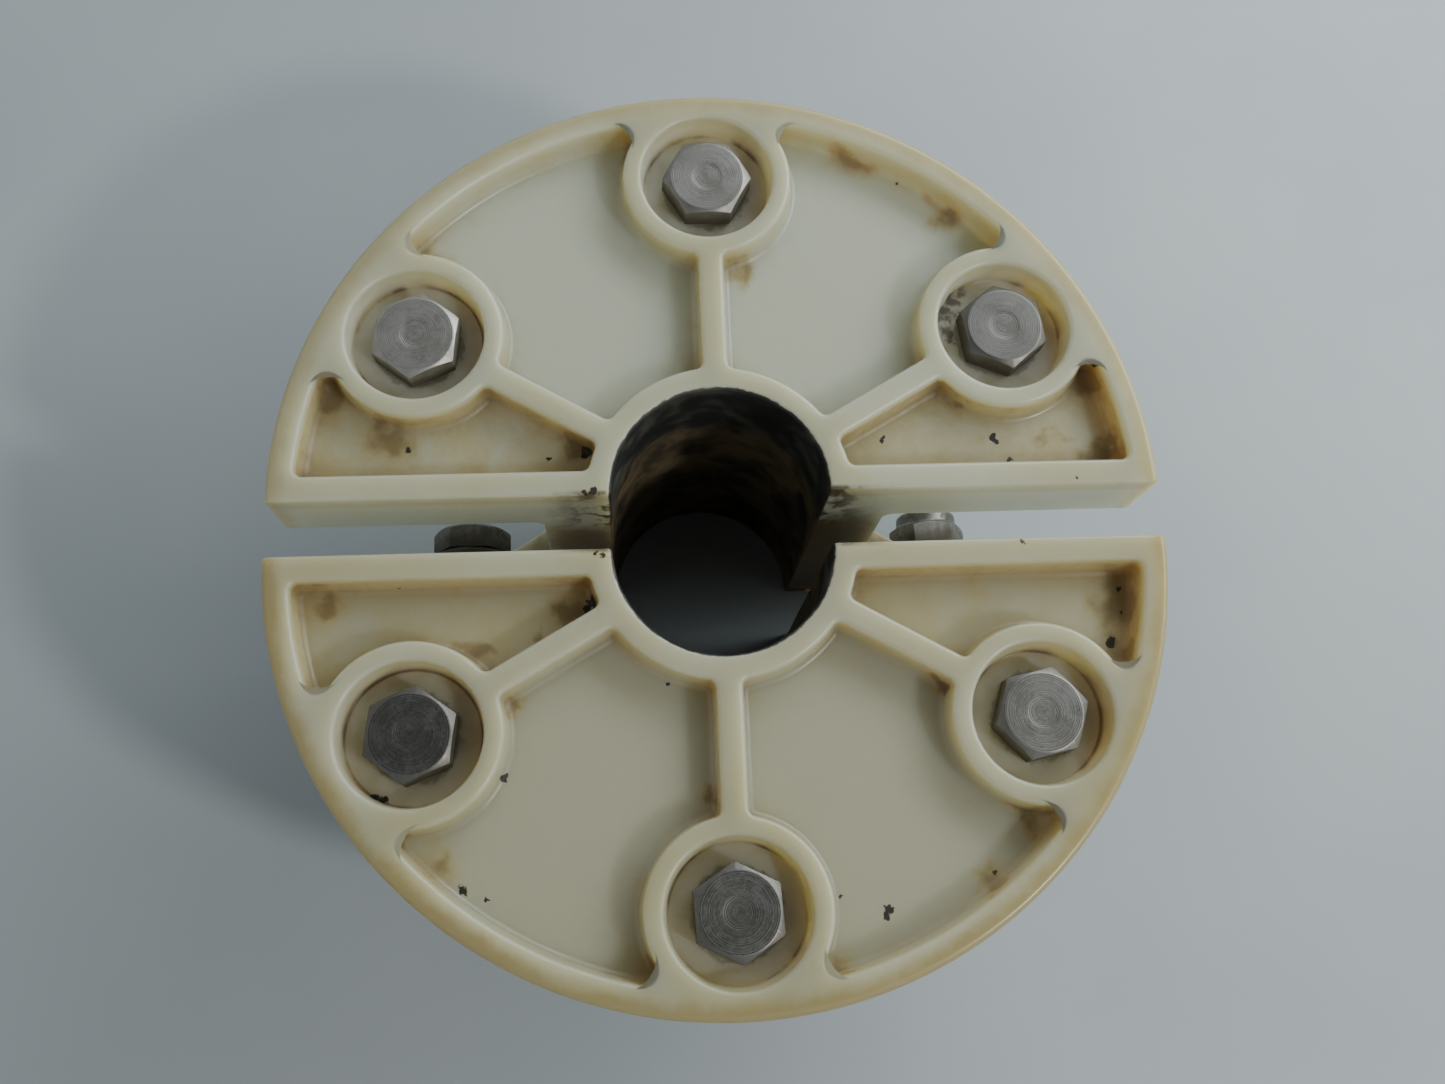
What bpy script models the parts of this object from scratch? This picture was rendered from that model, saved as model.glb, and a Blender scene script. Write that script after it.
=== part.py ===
"""Split flanged half of a shaft coupling, moulded in cream nylon, standing on its hub end.

Two identical half bodies face each other across a split plane (X = left to right, Y = across the
split, Z = up along the shaft). Six hex bolts pass through the flange of the coupling, and two clamp
bolts with self-locking nuts, put in from opposite sides, pull the two halves of the hub together
on the shaft. The shaft axis is the Z axis, and the hub end stands on Z = 0.

Lengths in the tables below are millimetres; MM turns them into Blender's metres.
"""

import math

import bmesh
import bpy
from mathutils import Matrix, Vector

MM = 0.001
GAP = 0.3  # air kept between two pieces that touch on the real object

# Driving dimensions of the moulded half bodies
FLANGE_R = 92.5
FLANGE_T = 20.0
HEIGHT = 92.0  # from the hub end to the front face of the flange
SPLIT = 11.4  # distance between the two split faces at rest
BORE_R = 22.5
HUB_R = 37.5
RECESS = 7.0  # how deep the webs and the bolt pockets lie below the front face
DRAFT = 0.6  # how much a recess narrows from its mouth to its floor

# Ribs and rings on the front face
RIM_W = 5.4
EDGE_RIB_W = 5.3
RIB_W = 5.2
RING_R = 27.6  # ring round the bore
BOLT_CIRCLE_R = 72.5
BOSS_R = 18.4
POCKET_R = 14.4
BOSS_ANGLES = (30.0, 90.0, 150.0)
CORNER_R = 2.2

# M10 fasteners
THREAD_R = 5.0
SHANK_R = 4.9
HOLE_R = 5.5
HEX_FLATS = 17.0
HEAD_H = 6.4
NUT_HEX_H = 6.6
NUT_H = 10.0
NUT_COLLAR_R = 7.8
WASHER_R = 10.0
WASHER_T = 2.0
FLANGE_BOLT_L = 30.0
CLAMP_BOLT_L = 40.0

# Clamp lugs at the foot of the hub
LUG_X = 59.0
LUG_Z = 15.0
LUG_R = 13.0
LUG_T = 5.5
LUG_ROOT_T = 12.0

FLANGE_BACK = HEIGHT - FLANGE_T
RECESS_Z = HEIGHT - RECESS
HEX_CORNER_R = HEX_FLATS / math.sqrt(3.0)
CHAMFER_R = 0.475 * HEX_FLATS  # radius of the round end face of a head or a nut
HEX_SIDES = 24  # facets of the round shapes on a fastener
OVERLAP = 1.0  # how far two joined shapes, or a cutter and its wall, run past each other

# How far each bolt head is turned about its own axis
HEAD_TURNS = {"rear": (38.0, 0.0, 23.0), "front": (23.0, 33.0, 12.0)}


# ---------------------------------------------------------------------------------------------
# Scene and material helpers


def clear_scene():
    for obj in list(bpy.data.objects):
        bpy.data.objects.remove(obj, do_unlink=True)


def material(name, colour, roughness, metallic):
    made = bpy.data.materials.new(name)
    made.use_nodes = True
    shader = made.node_tree.nodes["Principled BSDF"]
    shader.inputs["Base Color"].default_value = (*colour, 1.0)
    shader.inputs["Roughness"].default_value = roughness
    shader.inputs["Metallic"].default_value = metallic
    made.diffuse_color = (*colour, 1.0)
    return made


def object_of(name, mesh):
    made = bpy.data.objects.new(name, mesh)
    bpy.context.scene.collection.objects.link(made)
    return made


def mesh_of(name, bm):
    bmesh.ops.recalc_face_normals(bm, faces=bm.faces)
    mesh = bpy.data.meshes.new(name)
    bm.to_mesh(mesh)
    bm.free()
    return mesh


def finish(mesh, surface):
    mesh.materials.clear()
    mesh.materials.append(surface)
    mesh.shade_smooth()
    mesh.set_sharp_from_angle(angle=math.radians(35.0))
    return mesh


# ---------------------------------------------------------------------------------------------
# Shape helpers


def prism(name, low, high, z_low, z_high):
    """A closed solid between two outlines with the same number of points."""
    bm = bmesh.new()
    bottom = [bm.verts.new(Vector((x, y, z_low)) * MM) for x, y in low]
    top = [bm.verts.new(Vector((x, y, z_high)) * MM) for x, y in high]
    bm.faces.new(reversed(bottom))
    bm.faces.new(top)
    for i, corner in enumerate(bottom):
        after = (i + 1) % len(bottom)
        bm.faces.new((corner, bottom[after], top[after], top[i]))
    return object_of(name, mesh_of(name, bm))


def turned(name, profile, sides, hollow=False):
    """A solid turned about Z from (radius, z) points. Flat caps close its ends, or, if it is
    hollow, a wall joins the last point to the first."""
    bm = bmesh.new()
    angles = [2.0 * math.pi * (i + 0.5) / sides for i in range(sides)]
    rings = []
    for radius, z in profile:
        ring = [Vector((radius * math.cos(a), radius * math.sin(a), z)) * MM for a in angles]
        rings.append([bm.verts.new(point) for point in ring])
    pairs = list(zip(rings, rings[1:]))
    if hollow:
        pairs.append((rings[-1], rings[0]))
    else:
        bm.faces.new(reversed(rings[0]))
        bm.faces.new(rings[-1])
    for one, other in pairs:
        for i in range(sides):
            after = (i + 1) % sides
            bm.faces.new((one[i], one[after], other[after], other[i]))
    return object_of(name, mesh_of(name, bm))


def cylinder(name, radius, z_low, z_high, sides):
    return turned(name, ((radius, z_low), (radius, z_high)), sides)


def place(obj, matrix):
    obj.data.transform(matrix)
    obj.data.update()
    return obj


def shift(x=0.0, y=0.0, z=0.0):
    return Matrix.Translation(Vector((x, y, z)) * MM)


def combined(obj, others, operation):
    """Applies one exact Boolean for each other object, and removes those objects."""
    for other in others:
        step = obj.modifiers.new("join", "BOOLEAN")
        step.operation = operation
        step.solver = "EXACT"
        step.object = other
    bpy.context.view_layer.update()
    graph = bpy.context.evaluated_depsgraph_get()
    mesh = bpy.data.meshes.new_from_object(obj.evaluated_get(graph))
    obj.modifiers.clear()
    obj.data = mesh
    for other in others:
        bpy.data.objects.remove(other, do_unlink=True)
    return obj


def polar(radius, degrees, centre=(0.0, 0.0)):
    angle = math.radians(degrees)
    return (centre[0] + radius * math.cos(angle), centre[1] + radius * math.sin(angle))


def arc_side(radius, start, end, count, centre=(0.0, 0.0)):
    """One side of an outline: a function of 0..1 along an arc, its length and its point count."""
    length = abs(math.radians(end - start)) * radius
    return (lambda t: polar(radius, start + (end - start) * t, centre), length, count)


def line_side(start, end):
    length = math.dist(start, end)
    return (
        lambda t: tuple(a + (b - a) * t for a, b in zip(start, end)),
        length,
        2,
    )


def rounded_outline(sides, radius, corner_steps=3):
    """The outline through the sides in turn, with each corner between them rounded."""
    points = []
    for (side, length, count), (after, after_length, _) in zip(sides, sides[1:] + sides[:1]):
        cut = radius / length
        points += [side(cut + (1.0 - 2.0 * cut) * i / (count - 1)) for i in range(count)]
        begin, corner, end = side(1.0 - cut), side(1.0), after(radius / after_length)
        for i in range(1, corner_steps):
            t = i / corner_steps
            weights = ((1.0 - t) ** 2, 2.0 * t * (1.0 - t), t**2)
            trio = zip(begin, corner, end)
            points.append(tuple(sum(w * c for w, c in zip(weights, axis)) for axis in trio))
    return points


# ---------------------------------------------------------------------------------------------
# Half body


def web_outline(first, last, inset):
    """The floor between two neighbouring ribs. first and last are the ribs' angles, and a first
    angle of None stands for the rib along the split. inset shrinks the outline on every side."""
    ring, rim = RING_R + inset, FLANGE_R - RIM_W - inset
    boss, half_rib, edge = BOSS_R + inset, RIB_W / 2.0 + inset, EDGE_RIB_W + inset
    boss_at_rim = math.degrees(
        math.acos((rim**2 - BOLT_CIRCLE_R**2 - boss**2) / (2.0 * BOLT_CIRCLE_R * boss))
    )
    rim_at_boss = math.degrees(
        math.acos((rim**2 + BOLT_CIRCLE_R**2 - boss**2) / (2.0 * BOLT_CIRCLE_R * rim))
    )
    boss_at_rib = 180.0 - math.degrees(math.asin(half_rib / boss))
    ring_at_rib = math.degrees(math.asin(half_rib / ring))

    last_boss = polar(BOLT_CIRCLE_R, last)
    ring_end, rim_end = last - ring_at_rib, last - rim_at_boss
    if first is None:
        ring_start, rim_start = (math.degrees(math.asin(edge / r)) for r in (ring, rim))
        opening = [line_side(polar(rim, rim_start), polar(ring, ring_start))]
    else:
        first_boss = polar(BOLT_CIRCLE_R, first)
        ring_start, rim_start = first + ring_at_rib, first + rim_at_boss
        boss_to = first + boss_at_rib
        opening = [
            arc_side(boss, first + boss_at_rim, boss_to, 8, first_boss),
            line_side(polar(boss, boss_to, first_boss), polar(ring, ring_start)),
        ]
    boss_from = last - boss_at_rib
    return rounded_outline(
        [
            arc_side(ring, ring_start, ring_end, 8),
            line_side(polar(ring, ring_end), polar(boss, boss_from, last_boss)),
            arc_side(boss, boss_from, last - boss_at_rim, 8, last_boss),
            arc_side(rim, rim_end, rim_start, 12),
            *opening,
        ],
        CORNER_R,
    )


def web_cutters():
    """Four drafted recesses: two either side of the upright rib, mirrored from the first two."""
    mouth_inset = -DRAFT * OVERLAP / RECESS
    cutters = []
    for first, last in ((None, BOSS_ANGLES[0]), (BOSS_ANGLES[0], BOSS_ANGLES[1])):
        floor, mouth = (web_outline(first, last, inset) for inset in (DRAFT, mouth_inset))
        for side in (1.0, -1.0):
            low, high = ([(side * x, y) for x, y in points] for points in (floor, mouth))
            cutters.append(prism("web_cutter", low, high, RECESS_Z, HEIGHT + OVERLAP))
    return cutters


def flange_cutters():
    """A drafted pocket and a bolt hole in each boss."""
    cutters = []
    for angle in BOSS_ANGLES:
        x, y = polar(BOLT_CIRCLE_R, angle)
        walls = ((POCKET_R - DRAFT, RECESS_Z), (POCKET_R, HEIGHT + OVERLAP))
        pocket = turned("pocket_cutter", walls, 40)
        hole = cylinder("hole_cutter", HOLE_R, FLANGE_BACK - OVERLAP, RECESS_Z + OVERLAP, 24)
        cutters += [place(cutter, shift(x, y)) for cutter in (pocket, hole)]
    return cutters


def lug(side):
    """One clamp lug: a round-ended plate that thickens towards the hub."""
    tip = LUG_X + LUG_R
    foot = HUB_R - 8.0
    plan = [
        (foot, -OVERLAP),
        (tip, -OVERLAP),
        (tip, LUG_T),
        (LUG_X - WASHER_R - 0.5, LUG_T),
        (HUB_R + 1.0, LUG_ROOT_T),
        (foot, LUG_ROOT_T),
    ]
    plate = prism("lug", plan, plan, LUG_Z - LUG_R, LUG_Z + LUG_R)
    face = [(foot - OVERLAP, -LUG_R), (LUG_X, -LUG_R)]
    face += [polar(LUG_R, -90.0 + 10.0 * i, (LUG_X, 0.0)) for i in range(1, 18)]
    face += [(LUG_X, LUG_R), (foot - OVERLAP, LUG_R)]
    outline = prism("lug_outline", face, face, -2.0 * LUG_ROOT_T, 2.0 * LUG_ROOT_T)
    place(outline, shift(z=LUG_Z) @ Matrix.Rotation(math.radians(90.0), 4, "X"))
    combined(plate, [outline], "INTERSECT")
    if side < 0.0:
        place(plate, Matrix.Scale(-1.0, 4, Vector((1.0, 0.0, 0.0))))
        plate.data.flip_normals()
    return plate


def half_mesh():
    """The half on the +Y side, with its split face on Y = 0."""
    flange = cylinder("half", FLANGE_R, FLANGE_BACK, HEIGHT, 144)
    hub = cylinder("hub", HUB_R, 0.0, FLANGE_BACK + OVERLAP, 72)
    combined(flange, [hub, lug(1.0), lug(-1.0)], "UNION")

    bore = cylinder("bore_cutter", BORE_R, -OVERLAP, HEIGHT + OVERLAP, 72)
    reach = FLANGE_R + 5.0
    block = [(-reach, -reach), (reach, -reach), (reach, 0.0), (-reach, 0.0)]
    other_side = prism("split_cutter", block, block, -5.0, HEIGHT + 5.0)
    clamp_holes = []
    for side in (1.0, -1.0):
        hole = cylinder("clamp_hole_cutter", HOLE_R, -20.0, 20.0, 24)
        along_y = Matrix.Rotation(math.radians(90.0), 4, "X")
        clamp_holes.append(place(hole, shift(side * LUG_X, 0.0, LUG_Z) @ along_y))
    cutters = [bore, *clamp_holes, *flange_cutters(), *web_cutters(), other_side]
    combined(flange, cutters, "DIFFERENCE")
    mesh = flange.data
    bpy.data.objects.remove(flange, do_unlink=True)
    return mesh


# ---------------------------------------------------------------------------------------------
# Fasteners, each made along +Z with its bearing face on Z = 0


def hexagon(name, height, chamfer_both):
    """A hexagon whose end faces are turned to a circle with 30 degree chamfers."""
    corners = [polar(HEX_CORNER_R, 60.0 * i) for i in range(6)]
    block = prism(name, corners, corners, 0.0, height)
    wide = HEX_CORNER_R + 1.0
    drop = (wide - CHAMFER_R) * math.tan(math.radians(30.0))
    top = [(wide, height - drop), (CHAMFER_R, height)]
    if chamfer_both:
        bottom = [(CHAMFER_R, 0.0), (wide, drop)]
    else:
        bottom = [(wide, -OVERLAP)]
    rounding = turned(name + "_rounding", bottom + top, HEX_SIDES)
    return combined(block, [rounding], "INTERSECT")


def bolt_mesh(name, length):
    """Head above Z = 0, shank below it."""
    head = hexagon(name, HEAD_H, False)
    end_chamfer = 1.0
    shank = turned(
        "shank",
        (
            (SHANK_R - end_chamfer, -length),
            (SHANK_R, end_chamfer - length),
            (SHANK_R, OVERLAP),
        ),
        HEX_SIDES,
    )
    combined(head, [shank], "UNION")
    mesh = head.data
    bpy.data.objects.remove(head, do_unlink=True)
    return mesh


def nut_mesh(name):
    """A self-locking nut: a hexagon with a round collar that holds the plastic ring."""
    body = hexagon(name, NUT_HEX_H, True)
    collar = turned(
        "collar",
        (
            (NUT_COLLAR_R, NUT_HEX_H - OVERLAP),
            (NUT_COLLAR_R, NUT_H - 0.9),
            (NUT_COLLAR_R - 1.2, NUT_H),
        ),
        HEX_SIDES,
    )
    combined(body, [collar], "UNION")
    hole = cylinder("nut_thread", THREAD_R + 0.2, -OVERLAP, NUT_H + OVERLAP, HEX_SIDES)
    combined(body, [hole], "DIFFERENCE")
    mesh = body.data
    bpy.data.objects.remove(body, do_unlink=True)
    return mesh


def washer_mesh(name):
    inside = THREAD_R + 0.4
    ring = ((inside, 0.0), (WASHER_R, 0.0), (WASHER_R, WASHER_T), (inside, WASHER_T))
    made = turned(name, ring, HEX_SIDES, hollow=True)
    mesh = made.data
    bpy.data.objects.remove(made, do_unlink=True)
    return mesh


# ---------------------------------------------------------------------------------------------
# Assembly


def add_part(name, mesh, matrix, parent=None):
    made = object_of(name, mesh)
    made.matrix_world = matrix
    if parent is not None:
        made.parent = parent
        made.matrix_parent_inverse = parent.matrix_world.inverted()
    return made


def half_frame(side):
    """Where a half stands: the rear one on +Y, the front one turned half round the shaft axis."""
    turn = Matrix.Rotation(0.0 if side == "rear" else math.pi, 4, "Z")
    return turn @ shift(y=SPLIT / 2.0)


def add_flange_bolts(side, frame, body, meshes):
    flip = Matrix.Rotation(math.pi, 4, "X")
    for number, (angle, turn) in enumerate(zip(BOSS_ANGLES, HEAD_TURNS[side]), start=1):
        x, y = polar(BOLT_CIRCLE_R, angle)
        spin = Matrix.Rotation(math.radians(turn), 4, "Z")
        above = frame @ shift(x, y, RECESS_Z + GAP) @ spin
        washer_at = FLANGE_BACK - GAP
        nut_at = washer_at - WASHER_T - GAP
        tag = f"{side}_flange_{{}}_{number}"
        add_part(tag.format("bolt"), meshes["flange_bolt"], above, body)
        add_part(
            tag.format("washer"),
            meshes["washer"],
            frame @ shift(x, y, washer_at - WASHER_T),
            body,
        )
        add_part(tag.format("nut"), meshes["nut"], frame @ shift(x, y, nut_at) @ spin @ flip, body)


def add_clamp(name, frame, body, far_body, meshes):
    """A clamp bolt whose head bears on this half, with its nut on the other half."""
    out = Matrix.Rotation(math.radians(-90.0), 4, "X")
    back = Matrix.Rotation(math.radians(90.0), 4, "X")
    at_head = frame @ shift(-LUG_X, LUG_T + GAP, LUG_Z) @ out
    at_nut = frame @ shift(-LUG_X, -SPLIT - LUG_T - GAP, LUG_Z) @ back
    head_lift = shift(z=WASHER_T + GAP)
    add_part(f"{name}_clamp_washer", meshes["washer"], at_head, body)
    add_part(f"{name}_clamp_bolt", meshes["clamp_bolt"], at_head @ head_lift, body)
    add_part(f"{name}_clamp_nut", meshes["nut"], at_nut, far_body)


def build():
    clear_scene()
    nylon = material("cream_nylon", (0.72, 0.66, 0.50), 0.42, 0.0)
    steel = material("stainless_steel", (0.52, 0.52, 0.50), 0.34, 1.0)
    plate = material("zinc_plate", (0.46, 0.46, 0.44), 0.45, 1.0)
    meshes = {
        "half": finish(half_mesh(), nylon),
        "flange_bolt": finish(bolt_mesh("flange_bolt", FLANGE_BOLT_L), steel),
        "clamp_bolt": finish(bolt_mesh("clamp_bolt", CLAMP_BOLT_L), plate),
        "nut": finish(nut_mesh("nut"), plate),
        "washer": finish(washer_mesh("washer"), plate),
    }
    frames = {side: half_frame(side) for side in ("rear", "front")}
    bodies = {}
    for side, frame in frames.items():
        bodies[side] = add_part(f"{side}_half_body", meshes["half"], frame)
        add_flange_bolts(side, frame, bodies[side], meshes)
    add_clamp("left", frames["rear"], bodies["rear"], bodies["front"], meshes)
    add_clamp("right", frames["front"], bodies["front"], bodies["rear"], meshes)


build()
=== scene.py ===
"""Looks of one split flanged half of a shaft coupling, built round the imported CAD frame.

Both moulded halves are rebuilt with rounded edges, fillets and drafted recesses, the bolts with
turned heads and cut threads, and the locknuts with their plastic rings. Every place and size comes
from the CAD nodes or from the dimensions below, which repeat the CAD's. Lengths in tables are
millimetres, and MM turns them into metres.
"""

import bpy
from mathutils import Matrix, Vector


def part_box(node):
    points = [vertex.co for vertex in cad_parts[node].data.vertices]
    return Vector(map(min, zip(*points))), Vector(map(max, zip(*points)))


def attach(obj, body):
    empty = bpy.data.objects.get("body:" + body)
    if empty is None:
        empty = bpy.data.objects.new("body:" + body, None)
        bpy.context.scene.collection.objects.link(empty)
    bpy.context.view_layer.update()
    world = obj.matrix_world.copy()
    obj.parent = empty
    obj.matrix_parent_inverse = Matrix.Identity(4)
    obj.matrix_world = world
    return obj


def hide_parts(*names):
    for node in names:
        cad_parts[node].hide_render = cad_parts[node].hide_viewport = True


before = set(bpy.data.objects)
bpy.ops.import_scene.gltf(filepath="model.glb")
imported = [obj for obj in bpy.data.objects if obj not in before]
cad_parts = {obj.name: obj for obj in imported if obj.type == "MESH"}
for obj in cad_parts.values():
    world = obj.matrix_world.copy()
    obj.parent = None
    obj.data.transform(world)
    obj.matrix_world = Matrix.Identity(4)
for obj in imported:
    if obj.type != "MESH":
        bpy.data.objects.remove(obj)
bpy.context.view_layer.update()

import math
from types import SimpleNamespace

import bmesh
import bpy
from mathutils import Matrix, Vector

MM = 0.001

# Moulded half bodies, as in the CAD
FLANGE_R = 92.5
FLANGE_T = 20.0
HEIGHT = 92.0
SPLIT = 11.4
BORE_R = 22.5
HUB_R = 37.5
RECESS = 7.0
DRAFT = 0.6
RIM_W = 5.4
EDGE_RIB_W = 5.3
RIB_W = 5.2
RING_R = 27.6
BOLT_CIRCLE_R = 72.5
BOSS_R = 18.4
POCKET_R = 14.4
BOSS_ANGLES = (30.0, 90.0, 150.0)
CORNER_R = 1.8
LUG_X = 59.0
LUG_Z = 15.0
LUG_R = 13.0
LUG_T = 5.5
LUG_ROOT_T = 12.0
HOLE_R = 5.5
FLANGE_BACK = HEIGHT - FLANGE_T
RECESS_Z = HEIGHT - RECESS

# Roundings of the moulding
EDGE_ROUND = 0.9  # top edges of ribs, rim, ring and bosses
FLOOR_ROUND = 1.3  # inside corners of the webs
POCKET_ROUND = 0.5
SPLIT_ROUND = 0.6
LUG_ROUND = 1.0
ROUND_STEPS = 4
CORNER_STEPS = 7
REVOLVE_SIDES = 192
OVERLAP = 1.0

# M10 fasteners, as in the CAD
THREAD_PITCH = 1.5
CREST_R = 4.86
ROOT_R = 4.1
SHANK_R = 4.9
HEX_FLATS = 17.0
HEAD_H = 6.4
NUT_HEX_H = 6.6
NUT_H = 10.0
NUT_COLLAR_R = 7.8
NUT_HOLE_R = 5.2
WASHER_R = 10.0
WASHER_HOLE_R = 5.4
WASHER_T = 2.0
FLANGE_BOLT_L = 30.0
CLAMP_BOLT_L = 40.0
PLAIN_SHANK = 7.0
CHAMFER_R = 0.475 * HEX_FLATS
CHAMFER_SLOPE = math.tan(math.radians(30.0))
HEX_ROUND = 0.35  # worn corners between two flats
HEAD_HOLLOW = ((3.7, 0.01), (3.3, 0.04), (2.8, 0.1), (2.3, 0.12), (0.4, 0.08))  # radius, depth
HEAD_TURNS = {"rear": (38.0, 0.0, 23.0), "front": (23.0, 33.0, 12.0)}
HEAD_TONES = {"rear": (0.21, 0.34, 0.47), "front": (0.19, 0.23, 0.27)}  # how bright each head is

# Directions
UP = (0.0, 0.0, 1.0)
DOWN = (0.0, 0.0, -1.0)
REAR = (0.0, 1.0, 0.0)
FRONT = (0.0, -1.0, 0.0)

# Camera: its place, its turns about X, Y and Z in radians, and its focal length
CAMERA_AT = (-20.2, -81.0, 370.5)
CAMERA_TURNS = (0.2678, -0.0623, -0.0263)
CAMERA_LENS = 35.4
CAMERA_FILM = 36.0


# ---------------------------------------------------------------------------------------------
# Mesh helpers


def object_of(name, mesh):
    made = bpy.data.objects.new(name, mesh)
    bpy.context.scene.collection.objects.link(made)
    return made


def skin(name, loops, joined_round=False):
    """A solid through closed loops of (x, y, z) points, capped at its two ends, or joined from
    its last loop to its first."""
    bm = bmesh.new()
    rings = [[bm.verts.new(Vector(point) * MM) for point in loop] for loop in loops]
    pairs = list(zip(rings, rings[1:]))
    if joined_round:
        pairs.append((rings[-1], rings[0]))
    else:
        bm.faces.new(reversed(rings[0]))
        bm.faces.new(rings[-1])
    for low, high in pairs:
        for i, corner in enumerate(low):
            after = (i + 1) % len(low)
            bm.faces.new((corner, low[after], high[after], high[i]))
    bmesh.ops.recalc_face_normals(bm, faces=bm.faces)
    mesh = bpy.data.meshes.new(name)
    bm.to_mesh(mesh)
    bm.free()
    return object_of(name, mesh)


def circle(radius, z, angles):
    return [(radius * math.cos(a), radius * math.sin(a), z) for a in angles]


def even_angles(count):
    """Angles round a circle, none of them on an axis."""
    return [2.0 * math.pi * (i + 0.5) / count for i in range(count)]


def mesh_of(obj):
    """Takes an object's mesh and removes the object."""
    mesh = obj.data
    bpy.data.objects.remove(obj, do_unlink=True)
    return mesh


def place(obj, matrix):
    obj.data.transform(matrix)
    obj.data.update()
    return obj


def shift(x=0.0, y=0.0, z=0.0):
    return Matrix.Translation(Vector((x, y, z)) * MM)


def evaluated_mesh(obj):
    bpy.context.view_layer.update()
    graph = bpy.context.evaluated_depsgraph_get()
    mesh = bpy.data.meshes.new_from_object(obj.evaluated_get(graph))
    obj.modifiers.clear()
    obj.data = mesh
    return obj


def combined(obj, others, operation):
    """Applies one exact Boolean for each other object, and removes those objects."""
    for other in others:
        step = obj.modifiers.new("join", "BOOLEAN")
        step.operation = operation
        step.solver = "EXACT"
        step.object = other
    evaluated_mesh(obj)
    for other in others:
        bpy.data.objects.remove(other, do_unlink=True)
    return obj


def smooth(obj, sharp_degrees=32.0):
    """Smooth shading that leaves flat faces flat next to rounded edges."""
    obj.data.shade_smooth()
    obj.data.set_sharp_from_angle(angle=math.radians(sharp_degrees))
    weighted = obj.modifiers.new("flat faces", "WEIGHTED_NORMAL")
    weighted.keep_sharp = True
    weighted.weight = 80
    return obj


# ---------------------------------------------------------------------------------------------
# Outlines


def polar(radius, degrees, centre=(0.0, 0.0)):
    angle = math.radians(degrees)
    return (centre[0] + radius * math.cos(angle), centre[1] + radius * math.sin(angle))


def arc_side(radius, start, end, count, centre=(0.0, 0.0)):
    """One side of an outline: a function of 0..1 along an arc, its length and its point count."""
    length = abs(math.radians(end - start)) * radius
    return (lambda t: polar(radius, start + (end - start) * t, centre), length, count)


def line_side(start, end):
    length = math.dist(start, end)
    return (
        lambda t: tuple(a + (b - a) * t for a, b in zip(start, end)),
        length,
        6,
    )


def rounded_outline(sides, radius):
    """The outline through the sides in turn, with an arc of that radius at each corner."""
    points, cuts = [], []
    nudge = 1e-4
    for (side, length, _), (after, after_length, _) in zip(sides, sides[1:] + sides[:1]):
        corner = Vector(side(1.0))
        before_way = Vector(side(1.0 - nudge)) - corner
        after_way = Vector(after(nudge)) - corner
        half = before_way.angle(after_way) / 2.0
        reach = radius / math.tan(half)
        cuts.append((min(reach / length, 0.42), min(reach / after_length, 0.42), half))
    for k, (side, length, count) in enumerate(sides):
        start_cut, (end_cut, after_cut, half) = cuts[k - 1][1], cuts[k]
        span = 1.0 - start_cut - end_cut
        points += [side(start_cut + span * i / (count - 1)) for i in range(count)]
        trio = [side(1.0 - end_cut), side(1.0), sides[(k + 1) % len(sides)][0](after_cut)]
        for i in range(1, CORNER_STEPS):
            t = i / CORNER_STEPS
            weights = ((1.0 - t) ** 2, 2.0 * t * (1.0 - t) * math.sin(half), t**2)
            whole = sum(weights)
            points.append(
                tuple(sum(w * c for w, c in zip(weights, axis)) / whole for axis in zip(*trio))
            )
    return points


def web_outline(first, last, inset):
    """The recess between two neighbouring ribs. first and last are the ribs' angles, and a first
    angle of None stands for the rib along the split. inset shrinks the outline on every side."""
    ring, rim = RING_R + inset, FLANGE_R - RIM_W - inset
    boss, half_rib, edge = BOSS_R + inset, RIB_W / 2.0 + inset, EDGE_RIB_W + inset
    boss_at_rim = math.degrees(
        math.acos((rim**2 - BOLT_CIRCLE_R**2 - boss**2) / (2.0 * BOLT_CIRCLE_R * boss))
    )
    rim_at_boss = math.degrees(
        math.acos((rim**2 + BOLT_CIRCLE_R**2 - boss**2) / (2.0 * BOLT_CIRCLE_R * rim))
    )
    boss_at_rib = 180.0 - math.degrees(math.asin(half_rib / boss))
    ring_at_rib = math.degrees(math.asin(half_rib / ring))

    last_boss = polar(BOLT_CIRCLE_R, last)
    ring_end, rim_end = last - ring_at_rib, last - rim_at_boss
    if first is None:
        ring_start, rim_start = (math.degrees(math.asin(edge / r)) for r in (ring, rim))
        opening = [line_side(polar(rim, rim_start), polar(ring, ring_start))]
    else:
        first_boss = polar(BOLT_CIRCLE_R, first)
        ring_start, rim_start = first + ring_at_rib, first + rim_at_boss
        boss_to = first + boss_at_rib
        opening = [
            arc_side(boss, first + boss_at_rim, boss_to, 24, first_boss),
            line_side(polar(boss, boss_to, first_boss), polar(ring, ring_start)),
        ]
    boss_from = last - boss_at_rib
    return rounded_outline(
        [
            arc_side(ring, ring_start, ring_end, 16),
            line_side(polar(ring, ring_end), polar(boss, boss_from, last_boss)),
            arc_side(boss, boss_from, last - boss_at_rim, 24, last_boss),
            arc_side(rim, rim_end, rim_start, 32),
            *opening,
        ],
        max(CORNER_R - inset, 0.5),
    )


def round_corner(before, corner, after, radius):
    """Points on the arc that rounds a corner of a polygon."""
    corner = Vector(corner)
    to_before = (Vector(before) - corner).normalized()
    to_after = (Vector(after) - corner).normalized()
    half = to_before.angle(to_after) / 2.0
    centre = corner + (to_before + to_after).normalized() * radius / math.sin(half)
    start = (corner + to_before * radius / math.tan(half) - centre).normalized()
    end = (corner + to_after * radius / math.tan(half) - centre).normalized()
    turns = [start.slerp(end, i / ROUND_STEPS) for i in range(ROUND_STEPS + 1)]
    return [tuple(centre + turn * radius) for turn in turns]


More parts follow.
